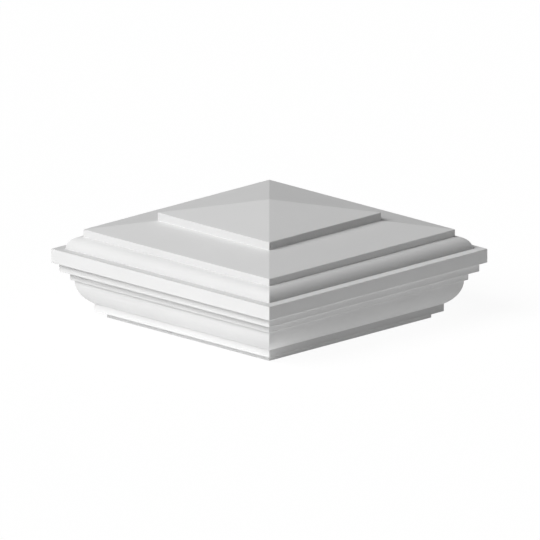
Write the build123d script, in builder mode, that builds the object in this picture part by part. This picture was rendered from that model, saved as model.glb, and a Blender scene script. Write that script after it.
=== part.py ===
from build123d import *
from math import cos, radians, sin, tan
import os

# Square cap for an 8 inch newel post, moulded in one piece. Millimetres, Z up,
# origin at the middle of the underside. Every moulding runs round all four sides.

# The post and the socket that drops over its top
post_width = 203.2
socket_gap = 1.6
socket_depth = 12.7
socket_draft = 1.5
socket_corner_radius = 3.0
mouth_chamfer = 1.2
rim_wall = 10.1

# Mouldings under the corona, from the bottom up
foot_height = 6.6
band_step = 8.8
band_height = 7.8
ovolo_radius = 28.1
ovolo_sweep = 60.0
lower_fillet_step = 3.0
lower_fillet_height = 8.6
upper_fillet_step = 7.7
upper_fillet_height = 9.1

# The corona and what stands on it
corona_step = 5.6
corona_height = 14.2
corona_ledge = 10.1
crown_radius = 12.5
curb_height = 7.3
roof_pitch = 10.0
roof_run = 51.8
block_height = 8.1

# Softened arrises of the moulding, and the sharp inner corners between them
arris = 0.6
sharp = 0

# Half widths, each measured out from the one below it
socket_half = post_width / 2 + socket_gap
foot_half = socket_half + rim_wall
band_half = foot_half + band_step
ovolo_half = band_half + ovolo_radius * (1 - cos(radians(ovolo_sweep)))
lower_fillet_half = ovolo_half + lower_fillet_step
upper_fillet_half = lower_fillet_half + upper_fillet_step
corona_half = upper_fillet_half + corona_step
crown_half = corona_half - corona_ledge
curb_half = crown_half - crown_radius
block_half = curb_half - roof_run

# Heights, each on top of the one below it
band_top = foot_height + band_height
ovolo_top = band_top + ovolo_radius * sin(radians(ovolo_sweep))
lower_fillet_top = ovolo_top + lower_fillet_height
upper_fillet_top = lower_fillet_top + upper_fillet_height
corona_top = upper_fillet_top + corona_height
crown_top = corona_top + crown_radius
curb_top = crown_top + curb_height
block_foot = curb_top + roof_run * tan(radians(roof_pitch))
block_top = block_foot + block_height
apex_height = block_top + block_half * tan(radians(roof_pitch))


def half_outline():
    """Draws the right half of the section, from the underside round to the apex."""
    FilletPolyline(
        (0, 0),
        (foot_half, 0),
        (foot_half, foot_height),
        (band_half, foot_height),
        (band_half, band_top),
        radius=(arris, sharp, arris),
    )
    CenterArc((ovolo_half - ovolo_radius, ovolo_top), ovolo_radius, -ovolo_sweep, ovolo_sweep)
    FilletPolyline(
        (ovolo_half, ovolo_top),
        (lower_fillet_half, ovolo_top),
        (lower_fillet_half, lower_fillet_top),
        (upper_fillet_half, lower_fillet_top),
        (upper_fillet_half, upper_fillet_top),
        (corona_half, upper_fillet_top),
        (corona_half, corona_top),
        (crown_half, corona_top),
        radius=(arris, sharp, arris, sharp, arris, arris),
    )
    CenterArc((curb_half, corona_top), crown_radius, 0, 90)
    FilletPolyline(
        (curb_half, crown_top),
        (curb_half, curb_top),
        (block_half, block_foot),
        (block_half, block_top),
        (0, apex_height),
        radius=(arris, sharp, arris),
    )


# The section run along Y, cut by the same section run along X, mitres every corner
with BuildPart() as post_cap:
    for section_plane, how in ((Plane.XZ, Mode.ADD), (Plane.YZ, Mode.INTERSECT)):
        with BuildSketch(section_plane):
            with BuildLine():
                half_outline()
                mirror(about=Plane.YZ)
            make_face()
        extrude(amount=corona_half, both=True, mode=how)
    with BuildSketch(Plane.XY):
        RectangleRounded(2 * socket_half, 2 * socket_half, socket_corner_radius)
    extrude(amount=socket_depth, taper=socket_draft, mode=Mode.SUBTRACT)
    rim = post_cap.faces().sort_by(Axis.Z)[0]
    chamfer(rim.inner_wires()[0].edges(), length=mouth_chamfer)

post_cap.part.label = "post_cap"

os.makedirs("parts", exist_ok=True)
export_step(post_cap.part, "parts/post_cap.step")
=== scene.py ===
from math import cos, pi, radians, sin, tan

import bpy
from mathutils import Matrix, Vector


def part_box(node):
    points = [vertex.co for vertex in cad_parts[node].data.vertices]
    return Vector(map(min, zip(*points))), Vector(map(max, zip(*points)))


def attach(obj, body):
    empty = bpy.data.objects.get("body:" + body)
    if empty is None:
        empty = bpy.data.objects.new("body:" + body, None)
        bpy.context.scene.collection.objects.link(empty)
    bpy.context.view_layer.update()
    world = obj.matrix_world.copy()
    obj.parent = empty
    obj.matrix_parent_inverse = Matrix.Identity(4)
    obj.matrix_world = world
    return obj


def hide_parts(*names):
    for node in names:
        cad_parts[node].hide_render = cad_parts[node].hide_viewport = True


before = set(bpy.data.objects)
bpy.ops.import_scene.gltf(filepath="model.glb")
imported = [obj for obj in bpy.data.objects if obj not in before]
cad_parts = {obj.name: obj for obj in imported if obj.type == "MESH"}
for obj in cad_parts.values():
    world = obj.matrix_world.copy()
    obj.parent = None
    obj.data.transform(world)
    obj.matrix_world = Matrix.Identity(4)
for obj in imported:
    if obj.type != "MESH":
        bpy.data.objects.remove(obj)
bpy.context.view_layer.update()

MM = 0.001
QUARTER_TURN = 90.0

# The socket underneath, in millimetres and degrees
RIM_WALL = 10.1
SOCKET_DEPTH = 12.7
SOCKET_DRAFT = 1.5
SOCKET_CORNER = 3.0
MOUTH_CHAMFER = 1.2

# Mouldings under the corona, from the bottom up
FOOT_HEIGHT = 6.6
BAND_STEP = 8.8
BAND_HEIGHT = 7.8
OVOLO_RADIUS = 28.1
OVOLO_SWEEP = 60.0
LOWER_FILLET_STEP = 3.0
LOWER_FILLET_HEIGHT = 8.6
UPPER_FILLET_STEP = 7.7
UPPER_FILLET_HEIGHT = 9.1

# The corona and what stands on it
CORONA_STEP = 5.6
CORONA_HEIGHT = 14.2
CORONA_LEDGE = 10.1
CROWN_RADIUS = 12.5
CURB_HEIGHT = 7.3
ROOF_PITCH = 10.0
ROOF_RUN = 51.8
BLOCK_HEIGHT = 8.1
APEX_HALF = 0.7

# The softened arrises, and how many steps each curve takes
ARRIS = 0.6
ARRIS_STEPS = 4
CORNER_STEPS = 4
OVOLO_STEPS = 28
CROWN_STEPS = 24
CREASE_ANGLE = 32.0

# Half widths, measured in from the corona, whose width the frame gives
CORONA_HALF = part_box("post_cap")[1].x / MM
UPPER_HALF = CORONA_HALF - CORONA_STEP
LOWER_HALF = UPPER_HALF - UPPER_FILLET_STEP
OVOLO_HALF = LOWER_HALF - LOWER_FILLET_STEP
BAND_HALF = OVOLO_HALF - OVOLO_RADIUS * (1 - cos(radians(OVOLO_SWEEP)))
FOOT_HALF = BAND_HALF - BAND_STEP
SOCKET_HALF = FOOT_HALF - RIM_WALL
CROWN_HALF = CORONA_HALF - CORONA_LEDGE
CURB_HALF = CROWN_HALF - CROWN_RADIUS
BLOCK_HALF = CURB_HALF - ROOF_RUN

# Heights, each on top of the one below it
ROOF_SLOPE = tan(radians(ROOF_PITCH))
BAND_TOP = FOOT_HEIGHT + BAND_HEIGHT
OVOLO_TOP = BAND_TOP + OVOLO_RADIUS * sin(radians(OVOLO_SWEEP))
LOWER_TOP = OVOLO_TOP + LOWER_FILLET_HEIGHT
UPPER_TOP = LOWER_TOP + UPPER_FILLET_HEIGHT
CORONA_TOP = UPPER_TOP + CORONA_HEIGHT
CROWN_TOP = CORONA_TOP + CROWN_RADIUS
CURB_TOP = CROWN_TOP + CURB_HEIGHT
BLOCK_FOOT = CURB_TOP + ROOF_RUN * ROOF_SLOPE
BLOCK_TOP = BLOCK_FOOT + BLOCK_HEIGHT
APEX_TOP = BLOCK_TOP + (BLOCK_HALF - APEX_HALF) * ROOF_SLOPE

# The primer's colour, which clouds a little; patterns are in waves to the metre
PRIMER_DARK = (0.74, 0.74, 0.739, 1)
PRIMER_LIGHT = (0.76, 0.76, 0.759, 1)
CLOUDS = 14.0
CLOUDS_DETAIL = 3.0
CLOUDS_DARK_AT = 0.3
CLOUDS_LIGHT_AT = 0.7

# Its gloss, in patches, and the orange peel of the spray gun
PRIMER_SPECULAR = 0.15
PRIMER_SMOOTHEST = 0.78
PRIMER_ROUGHEST = 0.92
PATCHES = 60.0
PATCHES_DETAIL = 4.0
PEEL = 700.0
PEEL_DETAIL = 2.0
PEEL_DEPTH = 0.0003
PEEL_STRENGTH = 0.3

# The parallel view, in metres and degrees; azimuth 0 looks from -Y and 90 from +X
VIEW_WIDTH = 0.5332
VIEW_AZIMUTH = 45.0
VIEW_ELEVATION = 15.54
VIEW_HEIGHT = 0.0488
VIEW_SIDE = 0.00074
STAND_OFF = 2.0

# The lamps, in metres and degrees; at a strength of 1 white renders as white
KEY_AZIMUTH = -7.0
KEY_ELEVATION = 42.0
KEY_STRENGTH = 1.03
KEY_SOFTNESS = 40.0
TABLE_STRENGTH = 0.34
TABLE_SPREAD = 170.0
TABLE_SIDE = 1.0
TABLE_DROP = 0.0002

# The floor, a little below the rim, of which the camera sees mostly plain white
FLOOR_REACH = 6.0
FLOOR_DROP = 0.0004
FLOOR_COLOUR = (0.75, 0.75, 0.75, 1)
FLOOR_WHITE = 1.05
FLOOR_WHITE_SHARE = 0.9
WHITE = (1, 1, 1, 1)


def add(name, data):
    """A new object in the scene, for a mesh, a lamp or a camera."""
    made = bpy.data.objects.new(name, data)
    bpy.context.scene.collection.objects.link(made)
    return made


def arc(centre, radius, start, end, steps):
    """Points of an arc in the section, from one angle to another in degrees."""
    points = []
    for step in range(steps + 1):
        angle = radians(start + (end - start) * step / steps)
        points.append((centre[0] + radius * cos(angle), centre[1] + radius * sin(angle)))
    return points


def soften(corner, before, after):
    """Points that round a convex arris of the section, between its two neighbours."""
    here = Vector(corner)
    back = (Vector(before) - here).normalized()
    ahead = (Vector(after) - here).normalized()
    half_angle = back.angle(ahead) / 2
    centre = here + (back + ahead).normalized() * ARRIS / sin(half_angle)
    start = here + back * ARRIS / tan(half_angle) - centre
    end = here + ahead * ARRIS / tan(half_angle) - centre
    points = []
    for step in range(ARRIS_STEPS + 1):
        spoke = start.slerp(end, step / ARRIS_STEPS).normalized()
        points.append(tuple(centre + spoke * ARRIS))
    return points


def section():
    """The outside of the moulding from the rim up to the apex, as half width and height."""
    points = soften((FOOT_HALF, 0), (SOCKET_HALF, 0), (FOOT_HALF, FOOT_HEIGHT))
    points.append((FOOT_HALF, FOOT_HEIGHT))
    points += soften((BAND_HALF, FOOT_HEIGHT), (FOOT_HALF, FOOT_HEIGHT), (BAND_HALF, BAND_TOP))
    points += arc((OVOLO_HALF - OVOLO_RADIUS, OVOLO_TOP), OVOLO_RADIUS, -OVOLO_SWEEP, 0, OVOLO_STEPS)
    points += soften((LOWER_HALF, OVOLO_TOP), (OVOLO_HALF, OVOLO_TOP), (LOWER_HALF, LOWER_TOP))
    points.append((LOWER_HALF, LOWER_TOP))
    points += soften((UPPER_HALF, LOWER_TOP), (LOWER_HALF, LOWER_TOP), (UPPER_HALF, UPPER_TOP))
    points.append((UPPER_HALF, UPPER_TOP))
    points += soften((CORONA_HALF, UPPER_TOP), (UPPER_HALF, UPPER_TOP), (CORONA_HALF, CORONA_TOP))
    points += soften((CORONA_HALF, CORONA_TOP), (CORONA_HALF, UPPER_TOP), (CROWN_HALF, CORONA_TOP))
    points += arc((CURB_HALF, CORONA_TOP), CROWN_RADIUS, 0, QUARTER_TURN, CROWN_STEPS)
    points += soften((CURB_HALF, CURB_TOP), (CURB_HALF, CROWN_TOP), (BLOCK_HALF, BLOCK_FOOT))
    points.append((BLOCK_HALF, BLOCK_FOOT))
    points += soften((BLOCK_HALF, BLOCK_TOP), (BLOCK_HALF, BLOCK_FOOT), (APEX_HALF, APEX_TOP))
    points.append((APEX_HALF, APEX_TOP))
    return points


def ring(half, height, corner):
    """A square of the section's width at one height, with rounded corners, in metres."""
    points = []
    for quarter, (across, along) in enumerate(((1, 1), (-1, 1), (-1, -1), (1, -1))):
        for step in range(CORNER_STEPS + 1):
            turn = radians(QUARTER_TURN * (quarter + step / CORNER_STEPS))
            x = across * (half - corner) + corner * cos(turn)
            y = along * (half - corner) + corner * sin(turn)
            points.append((x * MM, y * MM, height * MM))
    return points


def moulding():
    """The whole cap as rings of one mesh, from the socket's ceiling out and up to the apex."""
    draft = tan(radians(SOCKET_DRAFT))
    ceiling_in = SOCKET_DEPTH * draft
    chamfer_in = MOUTH_CHAMFER * draft
    rings = [
        ring(SOCKET_HALF - ceiling_in, SOCKET_DEPTH, SOCKET_CORNER - ceiling_in),
        ring(SOCKET_HALF - chamfer_in, MOUTH_CHAMFER, SOCKET_CORNER - chamfer_in),
        ring(SOCKET_HALF + MOUTH_CHAMFER, 0, SOCKET_CORNER + MOUTH_CHAMFER),
    ]
    rings += [ring(half, height, ARRIS) for half, height in section()]
    count = len(rings[0])
    ceiling = tuple(reversed(range(count)))
    faces = [ceiling]
    for level in range(len(rings) - 1):
        low = level * count
        high = low + count
        for index in range(count):
            following = (index + 1) % count
            faces.append((low + index, low + following, high + following, high + index))
    top = (len(rings) - 1) * count
    faces.append(tuple(range(top, top + count)))
    mesh = bpy.data.meshes.new("moulded_cap")
    mesh.from_pydata([point for points in rings for point in points], [], faces)
    mesh.shade_smooth()
    mesh.set_sharp_from_angle(angle=radians(CREASE_ANGLE))
    piece = add("moulded_cap", mesh)
    weighted = piece.modifiers.new("flat_faces_stay_flat", "WEIGHTED_NORMAL")
    weighted.keep_sharp = True
    return piece


def pattern(tree, place, waves, detail):
    """A cloudy pattern fixed to the piece, with that many waves to the metre."""
    noise = tree.nodes.new("ShaderNodeTexNoise")
    noise.inputs["Scale"].default_value = waves
    noise.inputs["Detail"].default_value = detail
    tree.links.new(place.outputs["Object"], noise.inputs["Vector"])
    return noise.outputs["Fac"]


def primed_foam():
    """White factory primer on moulded foam: matte, with a faint orange peel and clouding."""
    material = bpy.data.materials.new("primed_foam")
    material.use_nodes = True
    tree = material.node_tree
    links = tree.links
    shader = tree.nodes["Principled BSDF"]
    shader.inputs["Specular IOR Level"].default_value = PRIMER_SPECULAR
    place = tree.nodes.new("ShaderNodeTexCoord")

    tint = tree.nodes.new("ShaderNodeValToRGB")
    dark, light = tint.color_ramp.elements
    dark.position = CLOUDS_DARK_AT
    dark.color = PRIMER_DARK
    light.position = CLOUDS_LIGHT_AT
    light.color = PRIMER_LIGHT
    links.new(pattern(tree, place, CLOUDS, CLOUDS_DETAIL), tint.inputs["Fac"])
    links.new(tint.outputs["Color"], shader.inputs["Base Color"])

    dullness = tree.nodes.new("ShaderNodeMapRange")
    dullness.inputs["To Min"].default_value = PRIMER_SMOOTHEST
    dullness.inputs["To Max"].default_value = PRIMER_ROUGHEST
    links.new(pattern(tree, place, PATCHES, PATCHES_DETAIL), dullness.inputs["Value"])
    links.new(dullness.outputs["Result"], shader.inputs["Roughness"])

    relief = tree.nodes.new("ShaderNodeBump")
    relief.inputs["Strength"].default_value = PEEL_STRENGTH
    relief.inputs["Distance"].default_value = PEEL_DEPTH
    links.new(pattern(tree, place, PEEL, PEEL_DETAIL), relief.inputs["Height"])
    links.new(relief.outputs["Normal"], shader.inputs["Normal"])
    return material


def seen_by_the_eye(tree):
    """1 for what the camera sees, straight or in gloss or through glass, and 0 for other light."""
    path = tree.nodes.new("ShaderNodeLightPath")
    seen = path.outputs["Is Camera Ray"]
    for way in ("Is Glossy Ray", "Is Transmission Ray"):
        either = tree.nodes.new("ShaderNodeMath")
        either.operation = "MAXIMUM"
        tree.links.new(seen, either.inputs[0])
        tree.links.new(path.outputs[way], either.inputs[1])
        seen = either.outputs["Value"]
    return seen


def floor():
    """A white floor that the camera sees as plain white, with a trace of the cap's shadow."""
    material = bpy.data.materials.new("floor_white")
    material.use_nodes = True
    tree = material.node_tree
    tree.nodes.remove(tree.nodes["Principled BSDF"])
    matte = tree.nodes.new("ShaderNodeBsdfDiffuse")
    matte.inputs["Color"].default_value = FLOOR_COLOUR
    plain = tree.nodes.new("ShaderNodeEmission")
    plain.inputs["Color"].default_value = WHITE
    plain.inputs["Strength"].default_value = FLOOR_WHITE
    share = tree.nodes.new("ShaderNodeMath")
    share.operation = "MULTIPLY"
    share.inputs[1].default_value = FLOOR_WHITE_SHARE
    tree.links.new(seen_by_the_eye(tree), share.inputs[0])
    mix = tree.nodes.new("ShaderNodeMixShader")
    tree.links.new(share.outputs["Value"], mix.inputs["Fac"])
    tree.links.new(matte.outputs["BSDF"], mix.inputs[1])
    tree.links.new(plain.outputs["Emission"], mix.inputs[2])
    tree.links.new(mix.outputs["Shader"], tree.nodes["Material Output"].inputs["Surface"])

    mesh = bpy.data.meshes.new("floor")
    corners = [(-1, -1), (1, -1), (1, 1), (-1, 1)]
    vertices = [(x * FLOOR_REACH, y * FLOOR_REACH, -FLOOR_DROP) for x, y in corners]
    mesh.from_pydata(vertices, [], [(0, 1, 2, 3)])
    mesh.materials.append(material)
    add("floor", mesh)


def backdrop():
    """Plain white where the camera sees past the floor. It lights nothing."""
    world = bpy.data.worlds.new("studio")
    bpy.context.scene.world = world
    world.use_nodes = True
    tree = world.node_tree
    white = tree.nodes["Background"]
    white.inputs["Color"].default_value = WHITE
    tree.links.new(seen_by_the_eye(tree), white.inputs["Strength"])


def direction(azimuth, elevation):
    """The way from the cap to a lamp or to the camera."""
    turn = radians(azimuth)
    rise = radians(elevation)
    return Vector((sin(turn) * cos(rise), -cos(turn) * cos(rise), sin(rise)))


def key_lamp():
    """A broad soft light from the front left, above."""
    data = bpy.data.lights.new("key", "SUN")
    data.energy = KEY_STRENGTH * pi
    data.angle = radians(KEY_SOFTNESS)
    lamp = add("key", data)
    towards = direction(KEY_AZIMUTH, KEY_ELEVATION)
    lamp.location = towards * STAND_OFF
    lamp.rotation_euler = towards.to_track_quat("Z", "Y").to_euler()


def light_table():
    """A glow from the white floor itself, which lifts the undersides of the mouldings."""
    data = bpy.data.lights.new("table", "AREA")
    data.shape = "SQUARE"
    data.size = TABLE_SIDE
    data.energy = TABLE_STRENGTH * pi * TABLE_SIDE ** 2
    data.spread = radians(TABLE_SPREAD)
    lamp = add("table", data)
    lamp.location = (0, 0, -TABLE_DROP)
    lamp.rotation_euler = (pi, 0, 0)
    lamp.visible_camera = False


def camera():
    """A parallel view on the corner, as in the photograph."""
    data = bpy.data.cameras.new("camera")
    data.type = "ORTHO"
    data.ortho_scale = VIEW_WIDTH
    eye = add("camera", data)
    towards = direction(VIEW_AZIMUTH, VIEW_ELEVATION)
    aside = direction(VIEW_AZIMUTH + QUARTER_TURN, 0) * VIEW_SIDE
    eye.location = Vector((0, 0, VIEW_HEIGHT)) + aside + towards * STAND_OFF
    eye.rotation_euler = towards.to_track_quat("Z", "Y").to_euler()
    bpy.context.scene.camera = eye


camera()
cap = moulding()
cap.data.materials.append(primed_foam())
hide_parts("post_cap")
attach(cap, "root")
floor()
backdrop()
key_lamp()
light_table()

bpy.context.scene.view_settings.view_transform = "Standard"
